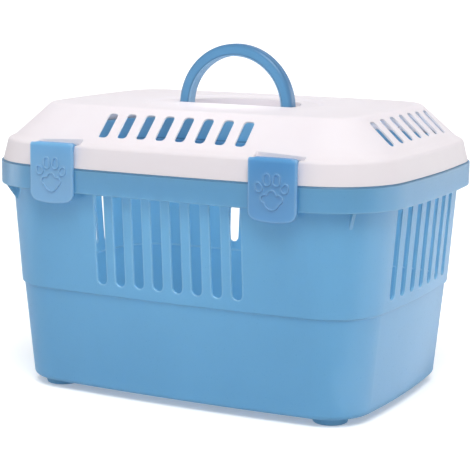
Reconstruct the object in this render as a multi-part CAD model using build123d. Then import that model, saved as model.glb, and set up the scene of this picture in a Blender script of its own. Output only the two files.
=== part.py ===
from build123d import *
from math import atan2, cos, hypot, pi, sin, sqrt, tan
import os

# Pet carrier: a slotted tub, a slotted lid, a folding carry handle and four swing clips.
# Millimetres. X runs along the long side, the front faces -Y, Z is up, feet stand on Z = 0.

# Outline of the rim, which every other level of the tub and the lid is set in from
carrier_length = 450.0
carrier_width = 326.0
end_bow = 974.0
side_bow = 2352.0
rim_corner = 77.6

# Levels
floor_level = 8.0
step_level = 108.0
rim_bottom = 211.8
rim_top = 236.0
crease_level = 257.8
lid_top = 294.4
lid_seam = 0.3

# Tub
tub_wall = 2.2
floor_inset = 31.5
lower_wall_top_inset = 21.6
upper_wall_foot_inset = 19.6
wall_at_rim_inset = 11.8
floor_edge_radius = 5.0
step_edge_radius = 1.9
rim_skirt = 2.5
rim_edge_radius = 1.6
skirt_edge_radius = 0.9
collar_inset = 21.5
collar_wall = 2.2
collar_height = 23.0
collar_edge_radius = 0.7

# Ventilation slots
front_slot_count = 8
front_slot_pitch = 21.5
end_slot_count = 7
end_slot_pitch = 23.3
tub_slot_width = 11.6
tub_slot_bottom = 119.6
lid_slot_width = 11.0
lid_slot_corner = 4.0
lid_slot_rise = 23.2
front_lid_slot_inset = 32.0
end_lid_slot_inset = 33.8
lid_slot_cut = 12.0

# Corner gussets under the rim
gusset_thickness = 3.0
gusset_depth = 18.0
gusset_angle = 50.0
gusset_overlap = 0.5

# Feet
foot_radius = 17.0
foot_flare = 1.5
foot_x = 153.5
foot_y = 96.0
foot_edge_radius = 1.5

# Lid
lid_wall = 1.8
lid_seam_inset = 1.8
crease_inset = 7.1
crease_radius = 4.0
shoulder_inset = 13.6
shoulder_rise = 3.0
shoulder_radius = 16.0
plateau_inset = 50.0
plateau_corner = 36.0
plateau_radius = 10.0

# Carry handle
handle_radius = 58.9
handle_thickness = 12.6
handle_depth = 14.0
handle_edge_radius = 4.0
handle_centre_level = 289.0
handle_pivot_level = 288.0
handle_strip = 1.5
handle_strip_step = 0.8
handle_strip_radius = 1.0
handle_pin_radius = 2.6
handle_pin_length = 3.0

# Dish and handle recess in the lid
dish_radius = 90.0
dish_centre_y = -6.0
dish_depth = 2.0
dish_bank = 6.0
recess_corner_radius = 1.0
recess_side_gap = 0.8
recess_front_gap = 0.4
recess_floor_gap = 0.6
pin_boss_radius = 5.0
pin_boss_depth = 2.5

# Swing clips
clip_width = 49.8
clip_x = 120.5
clip_plate = 2.6
clip_gap = 0.5
clip_axis_level = 255.0
clip_axis_stand_off = 12.6
clip_barrel_radius = 3.2
clip_pin_radius = 2.0
clip_pin_length = 2.6
clip_arm = 2.8
clip_arm_width = 40.0
clip_top_above_axis = 5.6
clip_corner_radius = 3.6
clip_tab_drop = 11.3
clip_tab_bow = 3.5
clip_tab_radius = 9.0
clip_edge_radius = 1.1
hook_width = 18.0
hook_reach = 3.2
hook_gap = 0.3
hook_fall = 2.2
hook_height = 4.6
hook_tip = 0.8
paw_line = 1.3
paw_relief = 1.0
paw_drop = 33.2
# Each round of the pad: across, above the pad's middle, radius
pad_rounds = ((0, -1.0, 8.5), (-7.1, 1.2, 4.6), (7.1, 1.2, 4.6), (0, 4.8, 5.0))
toe_tip_share = 0.84
# Each toe: across, above the pad's middle, tilt, radius, stretch
paw_toes = (
    (-13.5, 11.8, 24, 4.1, 2.4),
    (-5.0, 19.2, 6, 4.1, 4.6),
    (5.0, 19.2, -6, 4.1, 4.6),
    (13.5, 11.8, -24, 4.1, 2.4),
)

# Clip pockets in the lid
pocket_side_clearance = 0.9
pocket_back_clearance = 1.4
pocket_floor_clearance = 1.2
pocket_wall = 2.0
pocket_corner_radius = 1.5

# Running fit of the pins in their holes, and how far a cut runs past what it cuts
pin_clearance = 0.06
cut_past = 10.0

half_length = carrier_length / 2
half_width = carrier_width / 2
corner_per_inset = (rim_corner - plateau_corner) / plateau_inset


def corner_centre(a, b, r_end, r_side, r_corner):
    u = r_end - a
    v = r_side - b
    p = r_end - r_corner
    q = r_side - r_corner
    k = (p * p - q * q - u * u + v * v) / (2 * u)
    m = v / u
    root = m * m * (k + u) ** 2 - (m * m + 1) * ((k + u) ** 2 - p * p)
    y = (-m * (k + u) + sqrt(root)) / (m * m + 1)
    return k + m * y, y


# Bowed rounded rectangle at level z, set in from the rim's outline
def outline(z, inset, corner=None):
    a = half_length - inset
    b = half_width - inset
    r_end = end_bow - inset
    r_side = side_bow - inset
    r_corner = rim_corner - inset if corner is None else corner
    cx, cy = corner_centre(a, b, r_end, r_side, r_corner)
    end_way = atan2(cy, cx + r_end - a)
    side_way = atan2(cy + r_side - b, cx)
    middle = (end_way + side_way) / 2
    x1 = cx + r_corner * cos(end_way)
    y1 = cy + r_corner * sin(end_way)
    x2 = cx + r_corner * cos(side_way)
    y2 = cy + r_corner * sin(side_way)
    xm = cx + r_corner * cos(middle)
    ym = cy + r_corner * sin(middle)
    edges = [
        Edge.make_three_point_arc((x1, -y1, z), (a, 0, z), (x1, y1, z)),
        Edge.make_three_point_arc((x1, y1, z), (xm, ym, z), (x2, y2, z)),
        Edge.make_three_point_arc((x2, y2, z), (0, b, z), (-x2, y2, z)),
        Edge.make_three_point_arc((-x2, y2, z), (-xm, ym, z), (-x1, y1, z)),
        Edge.make_three_point_arc((-x1, y1, z), (-a, 0, z), (-x1, -y1, z)),
        Edge.make_three_point_arc((-x1, -y1, z), (-xm, -ym, z), (-x2, -y2, z)),
        Edge.make_three_point_arc((-x2, -y2, z), (0, -b, z), (x2, -y2, z)),
        Edge.make_three_point_arc((x2, -y2, z), (xm, -ym, z), (x1, -y1, z)),
    ]
    return Wire(edges)


# Straight-sided block between two levels
def frustum(z0, inset0, z1, inset1):
    return Solid.make_loft([outline(z0, inset0), outline(z1, inset1)], ruled=True)


def wall_inset(z):
    share = (z - step_level) / (rim_bottom - step_level)
    return upper_wall_foot_inset + share * (wall_at_rim_inset - upper_wall_foot_inset)


# How far the front stands back from its middle at x
def side_sag(x):
    return side_bow - sqrt(side_bow * side_bow - x * x)


# Tub: inner and outer body, rim, collar, feet, gussets and slots
floor_top = floor_level + tub_wall
flange_bottom = rim_top - tub_wall
outer_lower = frustum(floor_level, floor_inset, step_level + tub_wall, lower_wall_top_inset)
outer_lower = fillet(outer_lower.edges().group_by(Axis.Z)[0], floor_edge_radius)
outer_upper = frustum(step_level, upper_wall_foot_inset, rim_top, wall_inset(rim_top))
outer_upper = fillet(outer_upper.edges().group_by(Axis.Z)[0], step_edge_radius)
inner_lower = frustum(
    floor_top, floor_inset + tub_wall, step_level + 2 * tub_wall, lower_wall_top_inset + tub_wall
)
inner_lower = fillet(inner_lower.edges().group_by(Axis.Z)[0], floor_edge_radius - tub_wall)
inner_upper = frustum(
    step_level + tub_wall,
    upper_wall_foot_inset + tub_wall,
    flange_bottom,
    wall_inset(flange_bottom) + tub_wall,
)
rim_outer = extrude(make_face(outline(rim_bottom, 0)), rim_top - rim_bottom)
rim_outer = fillet(rim_outer.edges().group_by(Axis.Z)[-1], rim_edge_radius)
rim_outer = fillet(rim_outer.edges().group_by(Axis.Z)[0], skirt_edge_radius)
rim_inner = extrude(make_face(outline(rim_bottom, rim_skirt)), flange_bottom - rim_bottom)
rim_hollow = rim_inner - outer_upper
mouth_inset = collar_inset + collar_wall
mouth = extrude(make_face(outline(flange_bottom, mouth_inset)), tub_wall + collar_height)
collar = extrude(make_face(outline(rim_top, collar_inset)), collar_height)
collar = fillet(collar.edges().group_by(Axis.Z)[-1], collar_edge_radius)

tub = outer_lower + outer_upper + (rim_outer - rim_hollow) + collar
tub = tub - inner_lower - inner_upper - mouth

for sx in (-1, 1):
    for sy in (-1, 1):
        foot = Pos(sx * foot_x, sy * foot_y, 0) * Cone(
            foot_radius,
            foot_radius + foot_flare,
            floor_level + tub_wall / 2,
            align=(Align.CENTER, Align.CENTER, Align.MIN),
        )
        tub += fillet(foot.edges().group_by(Axis.Z)[0], foot_edge_radius)

# Gusset webs between the rim skirt and the wall, one at each corner
gusset_x, gusset_y = corner_centre(half_length, half_width, end_bow, side_bow, rim_corner)
gusset_foot = rim_bottom - gusset_depth
gusset_inside = wall_inset(gusset_foot) + tub_wall / 2
gusset_top = flange_bottom + tub_wall / 2
gusset_side = Polyline(
    (rim_skirt - gusset_overlap, rim_bottom),
    (gusset_inside, gusset_foot),
    (gusset_inside, gusset_top),
    (rim_skirt - gusset_overlap, gusset_top),
    close=True,
)
for sx in (-1, 1):
    for sy in (-1, 1):
        out_x = sx * cos(gusset_angle * pi / 180)
        out_y = sy * sin(gusset_angle * pi / 180)
        rim_x = sx * gusset_x + rim_corner * out_x
        rim_y = sy * gusset_y + rim_corner * out_y
        across = Plane(origin=(rim_x, rim_y, 0), x_dir=(-out_x, -out_y, 0), z_dir=(-out_y, out_x, 0))
        tub += extrude(across * make_face(gusset_side), gusset_thickness / 2, both=True)


# Planes for the slots on all four sides, each facing outwards and leaning back from upright
def slot_planes(front_inset, end_inset, front_level, end_level, lean):
    reach = cos(lean)
    rise = sin(lean)
    planes = []
    for side in (-1, 1):
        for i in range(front_slot_count):
            x = (i - (front_slot_count - 1) / 2) * front_slot_pitch
            origin = (x, side * (half_width - front_inset), front_level)
            planes.append(Plane(origin=origin, x_dir=(1, 0, 0), z_dir=(0, side * reach, rise)))
        for i in range(end_slot_count):
            y = (i - (end_slot_count - 1) / 2) * end_slot_pitch
            origin = (side * (half_length - end_inset), y, end_level)
            planes.append(Plane(origin=origin, x_dir=(0, 1, 0), z_dir=(side * reach, 0, rise)))
    return planes


# Tub slots run from a rounded bottom up behind the rim
slot_top = rim_bottom + tub_slot_width / 2
slot_level = (slot_top + tub_slot_bottom) / 2
slot_cut_start = (rim_skirt + wall_at_rim_inset) / 2
slot_cut_depth = floor_inset + tub_wall
slot_shape = SlotOverall(slot_top - tub_slot_bottom, tub_slot_width, rotation=90)
for plane in slot_planes(slot_cut_start, slot_cut_start, slot_level, slot_level, 0):
    tub -= extrude(plane * slot_shape, -slot_cut_depth)

# Lid profile, inset from the rim's outline against level: seam, crease, shoulder and plateau
shoulder_level = crease_level + shoulder_rise
lid_corners = (
    (lid_seam_inset, rim_top + lid_seam),
    (crease_inset, crease_level),
    (shoulder_inset, shoulder_level),
    (plateau_inset, lid_top),
)


# Corner of the profile moved inwards by a wall, square to the lines on both sides of it
def moved_corner(i, thickness):
    ways = []
    for k in (max(i - 1, 0), min(i, 2)):
        run = lid_corners[k + 1][0] - lid_corners[k][0]
        rise = lid_corners[k + 1][1] - lid_corners[k][1]
        ways.append((rise / hypot(run, rise), -run / hypot(run, rise)))
    if i == 3:
        ways[1] = (0, -1)
    share = thickness / (1 + ways[0][0] * ways[1][0] + ways[0][1] * ways[1][1])
    inset = lid_corners[i][0] + share * (ways[0][0] + ways[1][0])
    level = lid_corners[i][1] + share * (ways[0][1] + ways[1][1])
    return inset, level


def level_edges(solid, level):
    near = level - 0.001
    return solid.edges().filter_by_position(Axis.Z, near, level + 0.001)


# Lid-shaped block with its plateau, shoulder and crease rounded
def lid_block(thickness):
    block = Part()
    corners = [moved_corner(i, thickness) for i in range(4)]
    for (inset0, z0), (inset1, z1) in zip(corners, corners[1:]):
        lower = outline(z0, inset0, rim_corner - corner_per_inset * inset0)
        upper = outline(z1, inset1, rim_corner - corner_per_inset * inset1)
        block += Solid.make_loft([lower, upper], ruled=True)
    block = fillet(level_edges(block, corners[3][1]), plateau_radius - thickness)
    block = fillet(level_edges(block, corners[2][1]), shoulder_radius + thickness)
    return fillet(level_edges(block, corners[1][1]), crease_radius - thickness)


lid_outer = lid_block(0)
lid_inner = lid_block(lid_wall)

# Handle recess: the outline of the folded handle, with a gap all round
handle_inner = handle_radius - handle_thickness / 2
handle_outer = handle_radius + handle_thickness / 2
fold_centre_y = handle_centre_level - handle_pivot_level
recess_floor = handle_pivot_level - handle_depth / 2 - recess_floor_gap
recess_front = -handle_depth / 2 - recess_front_gap
recess_side = handle_outer + recess_side_gap


def recess_block(grow, floor):
    side = recess_side + grow
    shape = Pos(0, fold_centre_y) * Circle(side)
    shape += Pos(0, recess_front - grow) * Rectangle(
        2 * side, fold_centre_y - recess_front + grow, align=(Align.CENTER, Align.MIN)
    )
    shape -= Pos(0, recess_front - grow) * Rectangle(
        2 * side, 2 * side, align=(Align.CENTER, Align.MAX)
    )
    return extrude(Plane.XY.offset(floor) * shape, lid_top + cut_past - floor)


recess = recess_block(0, recess_floor)
recess = fillet(recess.edges().filter_by(Axis.Z).group_by(Axis.Y)[0], recess_corner_radius)
recess = fillet(recess.edges().group_by(Axis.Z)[0], recess_corner_radius)
recess_shell = recess_block(lid_wall, recess_floor - lid_wall)
pin_boss = Pos(0, 0, handle_pivot_level) * Rotation(0, 90, 0) * Cylinder(
    pin_boss_radius, 2 * (recess_side + lid_wall + pin_boss_depth)
)
dish = Pos(0, dish_centre_y, lid_top - dish_depth) * Cone(
    dish_radius - dish_bank / 2,
    dish_radius + dish_bank / 2 + dish_bank,
    2 * dish_depth,
    align=(Align.CENTER, Align.CENTER, Align.MIN),
)
dish_shell = Pos(0, dish_centre_y, lid_top - dish_depth - lid_wall) * Cylinder(
    dish_radius + dish_bank, dish_depth + lid_wall, align=(Align.CENTER, Align.CENTER, Align.MIN)
)

# Clip pockets, open to the front and the top: a narrow one for the hinge arm, with the pin
# holes in its side walls, and above the crease a notch as wide as the clip
clip_inner_face = half_width - side_sag(clip_x - clip_width / 2) + clip_gap
clip_axis_y = clip_inner_face - clip_axis_stand_off
pocket_half = clip_arm_width / 2 + pocket_side_clearance
notch_half = clip_width / 2 + pocket_side_clearance
pocket_back_y = clip_axis_y - clip_barrel_radius - pocket_back_clearance
pocket_floor = clip_axis_level - clip_barrel_radius - pocket_floor_clearance


def pocket_block(half, floor, grow):
    depth = half_width + cut_past - pocket_back_y + grow
    height = lid_top - floor + grow
    block = Box(2 * (half + grow), depth, height, align=(Align.CENTER, Align.MIN, Align.MIN))
    return Pos(0, pocket_back_y - grow, floor - grow) * block


pocket = Part()
pocket_shell = Part()
for half, floor in ((pocket_half, pocket_floor), (notch_half, crease_level)):
    block = pocket_block(half, floor, 0)
    pocket += fillet(block.edges().filter_by(Axis.Z).group_by(Axis.Y)[0], pocket_corner_radius)
    pocket_shell += pocket_block(half, floor, pocket_wall)
clip_hole = Pos(0, clip_axis_y, clip_axis_level) * Rotation(0, 90, 0) * Cylinder(
    clip_pin_radius + pin_clearance, 2 * (pocket_half + pocket_wall) + clip_pin_length
)
clip_places = []
for turn in (0, 180):
    for sx in (-1, 1):
        clip_places.append(Rotation(0, 0, turn) * Pos(sx * clip_x, 0, 0) * Rotation(0, 0, 180))

lid_hollow = lid_inner - recess_shell - pin_boss - dish_shell
for place in clip_places:
    lid_hollow -= place * pocket_shell
lid = lid_outer - lid_hollow
lid -= dish
lid -= recess
for place in clip_places:
    lid -= place * pocket
    lid -= place * clip_hole
lid -= Pos(0, 0, handle_pivot_level) * Rotation(0, 90, 0) * Cylinder(
    handle_pin_radius + pin_clearance, 2 * (recess_side + lid_wall + pin_boss_depth) + cut_past
)

# Lid slots are cut square to the slope
slope = atan2(lid_top - shoulder_level, plateau_inset - shoulder_inset)
lid_slot_shape = RectangleRounded(lid_slot_width, lid_slot_rise / cos(slope), lid_slot_corner)
front_lid_slot_level = shoulder_level + (front_lid_slot_inset - shoulder_inset) * tan(slope)
end_lid_slot_level = shoulder_level + (end_lid_slot_inset - shoulder_inset) * tan(slope)
for plane in slot_planes(
    front_lid_slot_inset, end_lid_slot_inset, front_lid_slot_level, end_lid_slot_level, pi / 2 - slope
):
    lid -= extrude(plane * lid_slot_shape, lid_slot_cut, both=True)

# Handle section: a round-edged bar with a narrower flat strip along its inside
def bar_section(side):
    strip_middle = side * (handle_inner + handle_strip / 2)
    bar = Pos(side * handle_radius, 0) * RectangleRounded(
        handle_thickness, handle_depth, handle_edge_radius
    )
    bar -= Pos(strip_middle, 0) * Rectangle(handle_strip, handle_depth)
    strip_width = handle_strip + 2 * handle_strip_radius
    bar += Pos(strip_middle + side * handle_strip_radius, 0) * RectangleRounded(
        strip_width, handle_depth - 2 * handle_strip_step, handle_strip_radius
    )
    return bar


# Carry handle: a half ring with round-ended legs and the pins it folds on
handle = Pos(0, 0, handle_centre_level) * revolve(bar_section(1), Axis.Y, -180)
handle_axis = Pos(0, 0, handle_pivot_level) * Rotation(0, 90, 0)
leg_side = handle_axis * Cylinder(handle_depth / 2, 3 * handle_radius)
leg_side += Pos(0, 0, handle_pivot_level) * Box(
    3 * handle_radius, handle_depth, handle_radius, align=(Align.CENTER, Align.CENTER, Align.MIN)
)
pin_reach = handle_outer + handle_pin_length
for side in (-1, 1):
    leg_top = Plane.XY.offset(handle_centre_level) * bar_section(side)
    handle += extrude(leg_top, -fold_centre_y - handle_depth / 2) & leg_side
    pin_middle = side * (handle_radius + pin_reach) / 2
    handle += handle_axis * Pos(0, 0, pin_middle) * Cylinder(handle_pin_radius, pin_reach - handle_radius)

# Swing clip, drawn about its own hinge axis with the outside towards -Y
plate_inner = clip_axis_stand_off
plate_outer = plate_inner + clip_plate
tab_end = rim_bottom - clip_tab_drop - clip_axis_level
tab_corner = tab_end + clip_tab_bow
arm_top = clip_top_above_axis
arm_bottom = clip_top_above_axis - clip_arm
clip_side = Polyline(
    (-plate_outer, tab_end),
    (-plate_outer, arm_top),
    (-plate_inner / 2, arm_top),
    (0, clip_barrel_radius),
    (clip_barrel_radius, 0),
    (0, -clip_barrel_radius),
    (-plate_inner / 2, arm_bottom - clip_arm / 4),
    (-plate_inner, arm_bottom),
    (-plate_inner, tab_end),
    close=True,
)
side_plane = Plane(origin=(0, 0, 0), x_dir=(0, 1, 0), z_dir=(1, 0, 0))
clip = extrude(side_plane * make_face(clip_side), clip_width / 2, both=True)
clip = fillet(clip.edges().filter_by(Axis.X).group_by(Axis.Y)[0].sort_by(Axis.Z)[-1], clip_corner_radius)
clip_edge = Polyline(
    (-clip_width / 2, tab_corner),
    (-clip_width / 2, clip_axis_stand_off),
    (clip_width / 2, clip_axis_stand_off),
    (clip_width / 2, tab_corner),
)
clip_edge += ThreePointArc((clip_width / 2, tab_corner), (0, tab_end), (-clip_width / 2, tab_corner))
clip_front = make_face(clip_edge)
clip_front = fillet(clip_front.vertices().group_by(Axis.Y)[0], clip_tab_radius)
clip &= extrude(Plane.XZ * clip_front, plate_outer + cut_past, both=True)
plate_face = clip.faces().filter_by(Axis.Y).sort_by(Axis.Y)[0]
clip = fillet(plate_face.edges(), clip_edge_radius)
for side in (-1, 1):
    beside_arm = Box(clip_width, 2 * plate_inner, 4 * plate_inner)
    clip -= Pos(side * (clip_arm_width + clip_width) / 2, 0, 0) * beside_arm
clip += Rotation(0, 90, 0) * Cylinder(clip_barrel_radius, clip_arm_width)

# Hook under the rim: its top falls away inwards, so a pull on the lid swings the clip out
hook_top = rim_bottom - hook_gap - clip_axis_level
hook_side = Polyline(
    (-plate_inner - clip_plate / 2, hook_top),
    (-plate_inner, hook_top),
    (-plate_inner + hook_reach, hook_top - hook_fall),
    (-plate_inner + hook_reach, hook_top - hook_fall - hook_tip),
    (-plate_inner, hook_top - hook_height),
    (-plate_inner - clip_plate / 2, hook_top - hook_height),
    close=True,
)
clip += extrude(side_plane * make_face(hook_side), hook_width / 2, both=True)
clip += Rotation(0, 90, 0) * Cylinder(clip_pin_radius, clip_arm_width + 2 * clip_pin_length)

# Paw in raised outline: a pad and four toes
pad = Sketch()
for x, y, radius in pad_rounds:
    pad += Pos(x, y) * Circle(radius)
paw_shapes = [pad]
for x, y, tilt, radius, stretch in paw_toes:
    toe_rounds = Pos(0, -stretch / 2) * Circle(radius)
    toe_rounds += Pos(0, stretch / 2) * Circle(radius * toe_tip_share)
    paw_shapes.append(Pos(x, y) * Rotation(0, 0, tilt) * make_hull(toe_rounds.edges()))
paw_plane = Plane(
    origin=(0, -plate_inner - clip_plate / 2, -paw_drop), x_dir=(1, 0, 0), z_dir=(0, -1, 0)
)
for shape in paw_shapes:
    ridge = extrude(paw_plane * shape, clip_plate / 2 + paw_relief)
    hollow = extrude(paw_plane * offset(shape, -paw_line), clip_plate / 2 + paw_relief)
    clip += ridge - hollow

pieces = {"tub": tub, "lid": lid, "carry_handle": handle}
names = ("clip_front_left", "clip_front_right", "clip_back_right", "clip_back_left")
for name, place in zip(names, clip_places):
    seat = place * Rotation(0, 0, 180) * Pos(0, -clip_axis_y, clip_axis_level)
    pieces[name] = seat * clip

os.makedirs("parts", exist_ok=True)
for name, piece in pieces.items():
    solid = piece.solids()[0]
    print(name, len(piece.solids()), round(piece.volume), piece.bounding_box())
    solid.label = name
    export_step(solid, f"parts/{name}.step")
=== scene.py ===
# Slotted plastic pet carrier: finishes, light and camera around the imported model.
# Metres, +X along the long side, the front faces -Y, Z is up.

import math

import bpy
from mathutils import Matrix, Vector

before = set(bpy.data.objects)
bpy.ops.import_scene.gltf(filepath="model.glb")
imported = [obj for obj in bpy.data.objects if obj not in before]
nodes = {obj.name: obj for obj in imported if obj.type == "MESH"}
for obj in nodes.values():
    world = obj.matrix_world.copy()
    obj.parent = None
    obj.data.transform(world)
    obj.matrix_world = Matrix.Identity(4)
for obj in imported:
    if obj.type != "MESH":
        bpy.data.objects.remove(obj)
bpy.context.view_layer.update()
print("frame loaded:", len(nodes), "pieces")


def linearColour(hexText, alpha=1.0):
    # sRGB hex as it would be picked from a swatch, turned to linear light
    parts = [int(hexText[i:i + 2], 16) / 255 for i in (0, 2, 4)]
    return [p / 12.92 if p <= 0.04045 else ((p + 0.055) / 1.055) ** 2.4 for p in parts] + [alpha]


def addNode(tree, kind, settings=None, links=None):
    # one node: settings are its attributes or socket values, links go from a socket to an input
    node = tree.nodes.new(kind)
    for name, value in (settings or {}).items():
        if isinstance(name, int) or name in node.inputs:
            node.inputs[name].default_value = value
        else:
            setattr(node, name, value)
    for name, source in (links or {}).items():
        tree.links.new(source, node.inputs[name])
    return node


def newMaterial(name):
    material = bpy.data.materials.new(name)
    material.use_nodes = True
    material.node_tree.nodes.clear()
    return material, material.node_tree


def calculate(tree, operation, *terms):
    # terms are sockets or plain numbers
    numbers = {i: term for i, term in enumerate(terms) if isinstance(term, (int, float))}
    sockets = {i: term for i, term in enumerate(terms) if i not in numbers}
    return addNode(tree, "ShaderNodeMath", {"operation": operation, **numbers}, sockets).outputs[0]


def remap(tree, value, fromRange, toRange):
    return addNode(tree, "ShaderNodeMapRange",
                   {"From Min": fromRange[0], "From Max": fromRange[1],
                    "To Min": toRange[0], "To Max": toRange[1]}, {"Value": value}).outputs[0]


def paintOver(tree, colour, hexText, share):
    # lays a swatch over the colour below it, share goes from 0 to 1
    return addNode(tree, "ShaderNodeMix", {"data_type": "RGBA", 7: linearColour(hexText)},
                   {0: share, 6: colour}).outputs[2]


# Faint clouds and flow lines that the melt leaves in the wall
def meltTint(tree, place, look):
    clouds = addNode(tree, "ShaderNodeTexNoise",
                     {"Scale": 1 / look["cloudSize"], "Detail": 3.0, "Roughness": 0.55},
                     {"Vector": place})
    stretched = addNode(tree, "ShaderNodeMapping", {"Scale": look["flowStretch"]}, {"Vector": place})
    flow = addNode(tree, "ShaderNodeTexNoise",
                   {"Scale": 1 / look["flowSize"], "Detail": 4.0, "Distortion": 0.6},
                   {"Vector": stretched.outputs[0]})
    both = addNode(tree, "ShaderNodeMix", {"data_type": "FLOAT", 0: look["flowShare"]},
                   {2: clouds.outputs["Fac"], 3: flow.outputs["Fac"]})
    tint = addNode(tree, "ShaderNodeValToRGB", links={"Fac": both.outputs[0]})
    for stop, position, hexText in zip(tint.color_ramp.elements, look["tintStops"],
                                       (look["deepColour"], look["paleColour"])):
        stop.position = position
        stop.color = linearColour(hexText)
    return tint.outputs["Color"]


# Painted edge highlights: where a wide rounding leaves the true normal, the skin is painted paler
def paintEdgeHighlights(tree, colour, look):
    edgeBevel = addNode(tree, "ShaderNodeBevel", {"samples": 6, "Radius": look["edgeWidth"]})
    trueNormal = addNode(tree, "ShaderNodeNewGeometry").outputs["Normal"]
    facing = addNode(tree, "ShaderNodeVectorMath", {"operation": "DOT_PRODUCT"},
                     {0: edgeBevel.outputs[0], 1: trueNormal})
    edge = remap(tree, facing.outputs["Value"], look["edgeFacing"], (0.0, look["edgeHighlight"]))
    return paintOver(tree, colour, look["highlightColour"], edge)


# Painted light: a clip is painted paler towards its tab, and the tub's collar paler upwards, standing in
# for the light that comes through the lid
def paintLightByLevel(tree, colour, level, look):
    paintedLight = remap(tree, level, (look["paleFrom"], look["paleTo"]), (0.0, look["paleShare"]))
    return paintOver(tree, colour, look["highlightColour"], paintedLight)


# Painted shade: darker in the seams, where the view is closed in, and a painted shadow line right under
# the lid
def paintSeamShade(tree, colour, level, look):
    crevice = addNode(tree, "ShaderNodeAmbientOcclusion", {"samples": 6, "Distance": look["creviceWidth"]})
    paintedCreviceShade = remap(tree, crevice.outputs["AO"], look["creviceOpen"], (0.0, look["creviceShade"]))
    inSeam = calculate(tree, "GREATER_THAN", level, look["creviceFrom"])
    onLine = calculate(tree, "COMPARE", level, look["lineLevel"], look["lineWidth"] / 2)
    shade = calculate(tree, "MAXIMUM", calculate(tree, "MULTIPLY", paintedCreviceShade, inSeam),
                      calculate(tree, "MULTIPLY", onLine, look["lineShade"]))
    return paintOver(tree, colour, look["paintedShadeColour"], shade)


# The handle's grip strip gets a painted highlight, a painted shade line lies in the step beside it, and
# painted shade darkens the rounded outer edge. Bands are distances from the middle of the arch.
def paintHandleLightAndShade(tree, place, colour, look, bands):
    axes = addNode(tree, "ShaderNodeSeparateXYZ", links={0: place})
    above = calculate(tree, "MAXIMUM",
                      calculate(tree, "SUBTRACT", axes.outputs["Z"], bands["centreLevel"]), 0.0)
    flat = addNode(tree, "ShaderNodeCombineXYZ", links={"X": axes.outputs["X"], "Z": above})
    length = addNode(tree, "ShaderNodeVectorMath", {"operation": "LENGTH"}, {0: flat.outputs[0]})
    reach = length.outputs["Value"]
    strip = calculate(tree, "LESS_THAN", reach, bands["stripEdge"])
    line = calculate(tree, "COMPARE", reach, bands["stripEdge"] + bands["lineWidth"] / 2,
                     bands["lineWidth"] / 2)
    outer = remap(tree, reach, bands["outerEdge"], (0.0, bands["outerShade"]))
    colour = paintOver(tree, colour, look["highlightColour"],
                       calculate(tree, "MULTIPLY", strip, bands["stripHighlight"]))
    colour = paintOver(tree, colour, look["paintedShadeColour"],
                       calculate(tree, "MULTIPLY", line, bands["lineShade"]))
    return paintOver(tree, colour, look["paintedShadeColour"], outer)


# Small radius on every edge, the wide, faint warp of the cooling walls, and the grain of the mould
def mouldRelief(tree, place, grain, look):
    rounded = addNode(tree, "ShaderNodeBevel", {"samples": 4, "Radius": look["edgeRound"]})
    warp = addNode(tree, "ShaderNodeTexNoise", {"Scale": 1 / look["warpSize"], "Detail": 1.0},
                   {"Vector": place})
    warped = addNode(tree, "ShaderNodeBump",
                     {"Strength": look["warpStrength"], "Distance": look["warpDepth"]},
                     {"Height": warp.outputs["Fac"], "Normal": rounded.outputs[0]})
    return addNode(tree, "ShaderNodeBump",
                   {"Strength": look["grainStrength"], "Distance": look["grainDepth"]},
                   {"Height": grain, "Normal": warped.outputs[0]}).outputs[0]


# Injection-moulded polypropylene, a little see-through where it's thin. The steel mould leaves a fine
# spark-eroded grain, which breaks the reflections up into a soft sheen.
def mouldedPolypropylene(name, look, bands=None):
    material, tree = newMaterial(name)
    place = addNode(tree, "ShaderNodeTexCoord").outputs["Object"]
    level = addNode(tree, "ShaderNodeSeparateXYZ", links={0: place}).outputs["Z"]
    # painted edge highlights, painted light by level and painted seam shade all go into the colour
    colour = paintEdgeHighlights(tree, meltTint(tree, place, look), look)
    colour = paintLightByLevel(tree, colour, level, look)
    colour = paintSeamShade(tree, colour, level, look)
    # painted highlight and painted shade on the handle's bands
    if bands:
        colour = paintHandleLightAndShade(tree, place, colour, look, bands)
    grain = addNode(tree, "ShaderNodeTexNoise",
                    {"Scale": 1 / look["grainSize"], "Detail": 2.0, "Roughness": 0.6},
                    {"Vector": place}).outputs["Fac"]
    spread = look["roughnessSpread"]
    rough = remap(tree, grain, look["grainSpan"], (look["roughness"] - spread, look["roughness"] + spread))
    relief = mouldRelief(tree, place, grain, look)
    skin = addNode(tree, "ShaderNodeBsdfPrincipled",
                   {"IOR": look["ior"], "Metallic": 0.0, "Specular IOR Level": look["sheen"]},
                   {"Base Color": colour, "Roughness": rough, "Normal": relief})
    through = addNode(tree, "ShaderNodeBsdfTranslucent", {"Color": linearColour(look["throughColour"])},
                      {"Normal": relief})
    mixed = addNode(tree, "ShaderNodeMixShader", {0: look["throughShare"]},
                    {1: skin.outputs[0], 2: through.outputs[0]})
    addNode(tree, "ShaderNodeOutputMaterial", links={"Surface": mixed.outputs[0]})
    return material


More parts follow.
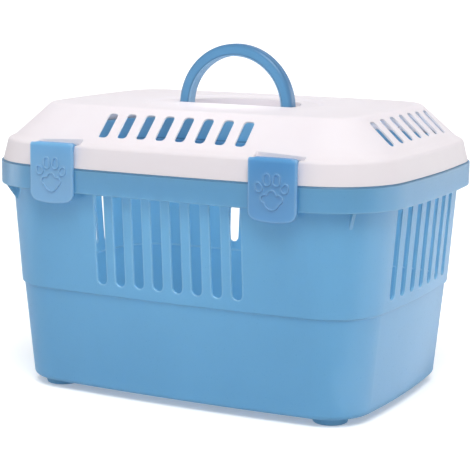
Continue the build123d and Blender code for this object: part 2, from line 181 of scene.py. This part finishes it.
# Tub: sky blue, and thin enough for daylight to pass into the cabin
tubLook = {
    "deepColour": "6daed5",
    "paleColour": "76b7dd",
    "tintStops": (0.3, 0.7),
    # colour of the painted highlights and the painted light
    "highlightColour": "c0e0f0",
    "throughColour": "bce4f4",
    "throughShare": 0.44,
    "sheen": 0.9,                  # raised, because the see-through share has no sheen
    "roughness": 0.32,
    "roughnessSpread": 0.05,
    "ior": 1.49,
    "cloudSize": 0.09,
    "flowSize": 0.035,
    "flowStretch": (1.0, 1.0, 0.25),
    "flowShare": 0.4,
    "grainSize": 0.0016,           # the true grain is about 0.3 mm, drawn coarser so that it shows
    "grainSpan": (0.3, 0.7),       # low and high of the grain's pattern, for the roughness
    "grainDepth": 0.00006,
    "grainStrength": 0.35,
    "warpSize": 0.12,
    "warpDepth": 0.001,
    "warpStrength": 0.6,
    "edgeRound": 0.0009,
    "edgeWidth": 0.0028,
    "edgeFacing": (0.99, 0.85),    # share of the true normal where the painted edge highlight starts and where it is full
    "edgeHighlight": 0.7,
    # colour of the painted shade in the seams and of the painted shadow line under the lid
    "paintedShadeColour": "30587c",
    "creviceWidth": 0.004,
    "creviceOpen": (0.92, 0.52),   # open share of the view where the shade starts and where it is full
    "creviceShade": 0.85,
    "creviceFrom": 0.2345,         # the painted shade starts just under the rim's top
    # a painted shadow line along the rim's top, right under the lid
    "lineLevel": 0.2355,
    "lineWidth": 0.0018,
    "lineShade": 0.8,
    # the collar is painted paler upwards, standing in for the light that comes through the lid
    "paleFrom": 0.2370,            # the collar begins at the rim's top, at 0.236
    "paleTo": 0.2430,
    "paleShare": 0.15,
}

# Lid: warm white with more filler, so that it is duller and passes less light
lidLook = dict(tubLook, deepColour="f8f0f4", paleColour="fbf5f8", highlightColour="fdfbfc",
               throughColour="f8f4f4", throughShare=0.25, sheen=0.4, roughness=0.50,
               # the crevice values give the lid painted shade in its pockets and seams
               paintedShadeColour="8d8790", creviceOpen=(0.55, 0.15), creviceShade=0.35, creviceFrom=0.0,
               lineShade=0.0, paleShare=0.0)

# Clips: clearer blue, with painted highlights at the edges and painted light towards the tab
trimLook = dict(tubLook, deepColour="4a9ed6", paleColour="58abe0", highlightColour="b6dcf4",
                throughColour="a4d6f4", throughShare=0.42, roughness=0.34, cloudSize=0.05,
                edgeWidth=0.0045, edgeHighlight=0.9, creviceOpen=(0.55, 0.15), creviceShade=0.3,
                creviceFrom=0.0, lineShade=0.0, paleFrom=0.262, paleTo=0.220, paleShare=0.25)

# The left front clip is a lit copy of the clip finish, painted paler for the stronger light that falls on
# it
litClipLook = dict(trimLook, deepColour="76bee8", paleColour="84c9f0", paleShare=0.45)

# Handle: the deepest blue, because it is the thickest
handleLook = dict(trimLook, deepColour="5090ba", paleColour="609fc8", highlightColour="b4d6ea",
                  edgeWidth=0.0028, paleShare=0.0)
# painted highlight on the grip strip, painted shade in the step and along the rounded outer edge
handleBands = {
    "centreLevel": 0.289,
    "stripEdge": 0.0541,
    "stripHighlight": 0.6,
    "lineWidth": 0.0011,
    "lineShade": 0.8,
    "outerEdge": (0.0612, 0.0648),
    "outerShade": 0.85,
}

finishes = {
    "tub": mouldedPolypropylene("injection-moulded polypropylene, sky blue, tub", tubLook),
    "lid": mouldedPolypropylene("injection-moulded polypropylene, warm white, lid", lidLook),
    "trim": mouldedPolypropylene("injection-moulded polypropylene, clear blue, clips", trimLook),
    "clip_front_left": mouldedPolypropylene("injection-moulded polypropylene, pale blue, rubbed clip",
                                            litClipLook),
    "carry_handle": mouldedPolypropylene("injection-moulded polypropylene, clear blue, handle",
                                         handleLook, handleBands),
}
print("materials made:", len(finishes))

for name, piece in nodes.items():
    kind = name if name in finishes else "trim"
    piece.data.materials.clear()
    piece.data.materials.append(finishes[kind])
print("finishes assigned")


studio = {
    "floorSize": 120.0,
    "floorColour": "f4f4f4",
    "floorGlow": 0.27,         # lifts the floor to white for the eye alone
    "floorBounce": "b0b0b0",   # the floor as it lights the carrier from below
    "skyLight": 0.60,
    "keyStrength": 1.95,
    "keyFrom": (0.40, -0.70, 1.15),
    "keyAngle": 35.0,
}


def seenRays(tree):
    # 1 for what the camera sees, straight, in a reflection or through something clear
    rays = addNode(tree, "ShaderNodeLightPath").outputs
    first = calculate(tree, "MAXIMUM", rays["Is Camera Ray"], rays["Is Glossy Ray"])
    return calculate(tree, "MAXIMUM", first, rays["Is Transmission Ray"])


def buildFloor():
    half = studio["floorSize"] / 2
    corners = [(-half, -half, 0), (half, -half, 0), (half, half, 0), (-half, half, 0)]
    mesh = bpy.data.meshes.new("studioFloor")
    mesh.from_pydata(corners, [], [(0, 1, 2, 3)])
    floor = bpy.data.objects.new("studioFloor", mesh)
    bpy.context.scene.collection.objects.link(floor)
    material, tree = newMaterial("matt studio paper")
    paper = addNode(tree, "ShaderNodeBsdfDiffuse", {"Color": linearColour(studio["floorColour"])})
    glow = addNode(tree, "ShaderNodeEmission", {"Strength": studio["floorGlow"]})
    lit = addNode(tree, "ShaderNodeAddShader", links={0: paper.outputs[0], 1: glow.outputs[0]})
    bounce = addNode(tree, "ShaderNodeBsdfDiffuse", {"Color": linearColour(studio["floorBounce"])})
    seen = addNode(tree, "ShaderNodeMixShader",
                   links={0: seenRays(tree), 1: bounce.outputs[0], 2: lit.outputs[0]})
    addNode(tree, "ShaderNodeOutputMaterial", links={"Surface": seen.outputs[0]})
    mesh.materials.append(material)


def buildSky():
    world = bpy.data.worlds.new("studioWorld")
    world.use_nodes = True
    tree = world.node_tree
    tree.nodes.clear()
    soft = addNode(tree, "ShaderNodeBackground", {"Color": (1, 1, 1, 1), "Strength": studio["skyLight"]})
    white = addNode(tree, "ShaderNodeBackground", {"Color": (1, 1, 1, 1), "Strength": 1.0})
    mixed = addNode(tree, "ShaderNodeMixShader",
                    links={0: seenRays(tree), 1: soft.outputs[0], 2: white.outputs[0]})
    addNode(tree, "ShaderNodeOutputWorld", links={"Surface": mixed.outputs[0]})
    bpy.context.scene.world = world


def hangLight(name, kind):
    # a lamp and the object that holds it
    light = bpy.data.lights.new(name, kind)
    lamp = bpy.data.objects.new(name, light)
    bpy.context.scene.collection.objects.link(lamp)
    return light, lamp


def addSun(name, strength, come, angle):
    light, lamp = hangLight(name, "SUN")
    light.energy = strength
    light.angle = math.radians(angle)
    lamp.rotation_euler = Vector(come).to_track_quat("Z", "Y").to_euler()


# Standing and lying cards at both sides that show only in the sheen of the plastic
sheenCards = {
    "standingCard": {"strength": 2.0, "place": (1.25, 0.75, 0.36), "faces": (-0.8, -0.6, 0.0),
                     "size": (2.4, 0.70)},
    "lyingCard": {"strength": 1.2, "place": (0.905, 0.50, 0.002), "faces": (0.0, 0.0, 1.0),
                  "size": (1.4, 1.4)},
    "leftLyingCard": {"strength": 2.5, "place": (-1.50, -2.10, 0.002), "faces": (0.0, 0.0, 1.0),
                      "size": (0.9, 1.3)},
    "leftStandingCard": {"strength": 4.0, "place": (-1.40, -0.45, 0.20), "faces": (1.0, 0.0, 0.0),
                         "size": (0.7, 0.36)},
}


def addSheenCard(name, look):
    light, card = hangLight(name, "AREA")
    light.shape = "RECTANGLE"
    light.size, light.size_y = look["size"]
    # an area lamp's power is its radiance times its area times pi
    light.energy = look["strength"] * math.pi * look["size"][0] * look["size"][1]
    card.matrix_world = Matrix.LocRotScale(
        Vector(look["place"]), (-Vector(look["faces"])).to_track_quat("Z", "Y"), None)
    card.visible_camera = False
    card.visible_diffuse = False
    card.visible_transmission = False


# A soft lamp in the cabin stands for the light that real, cloudier walls pass on to each other
cabinLamp = {
    "power": 0.64,
    "place": (0.0, -0.01, 0.242),
    "radius": 0.03,
}


def addCabinLamp():
    light, lamp = hangLight("cabinLamp", "POINT")
    light.energy = cabinLamp["power"]
    light.shadow_soft_size = cabinLamp["radius"]
    lamp.location = cabinLamp["place"]
    lamp.visible_camera = False
    lamp.visible_glossy = False


buildFloor()
buildSky()
for name, look in sheenCards.items():
    addSheenCard(name, look)
addCabinLamp()
addSun("keyLamp", studio["keyStrength"], studio["keyFrom"], studio["keyAngle"])
print("studio ready")

# The photograph's viewpoint, fitted to its outline: degrees, metres, and the lens in millimetres
viewpoint = {
    "azimuth": 27.277,
    "elevation": 9.858,
    "roll": 0.474,
    "distance": 1.6326,
    "target": (-0.0025, -0.0005, 0.1546),
    "lens": 119.2,
    "sensorWidth": 36,
    "shiftX": 0.00304,
    "farthest": 200,
}


def placeCamera():
    turn = math.radians(viewpoint["azimuth"])
    lift = math.radians(viewpoint["elevation"])
    roll = math.radians(viewpoint["roll"])
    back = Vector((math.sin(turn) * math.cos(lift), -math.cos(turn) * math.cos(lift), math.sin(lift)))
    level = Vector((math.cos(turn), math.sin(turn), 0))
    upright = back.cross(level)
    right = level * math.cos(roll) + upright * math.sin(roll)
    up = upright * math.cos(roll) - level * math.sin(roll)
    place = Matrix((right, up, back)).transposed().to_4x4()
    place.translation = Vector(viewpoint["target"]) + back * viewpoint["distance"]
    data = bpy.data.cameras.new("photoCamera")
    data.sensor_width = viewpoint["sensorWidth"]
    data.lens = viewpoint["lens"]
    data.shift_x = viewpoint["shiftX"]
    data.clip_end = viewpoint["farthest"]
    camera = bpy.data.objects.new("photoCamera", data)
    camera.matrix_world = place
    bpy.context.scene.collection.objects.link(camera)
    bpy.context.scene.camera = camera


placeCamera()
bpy.context.scene.view_settings.view_transform = "Standard"
print("camera placed")
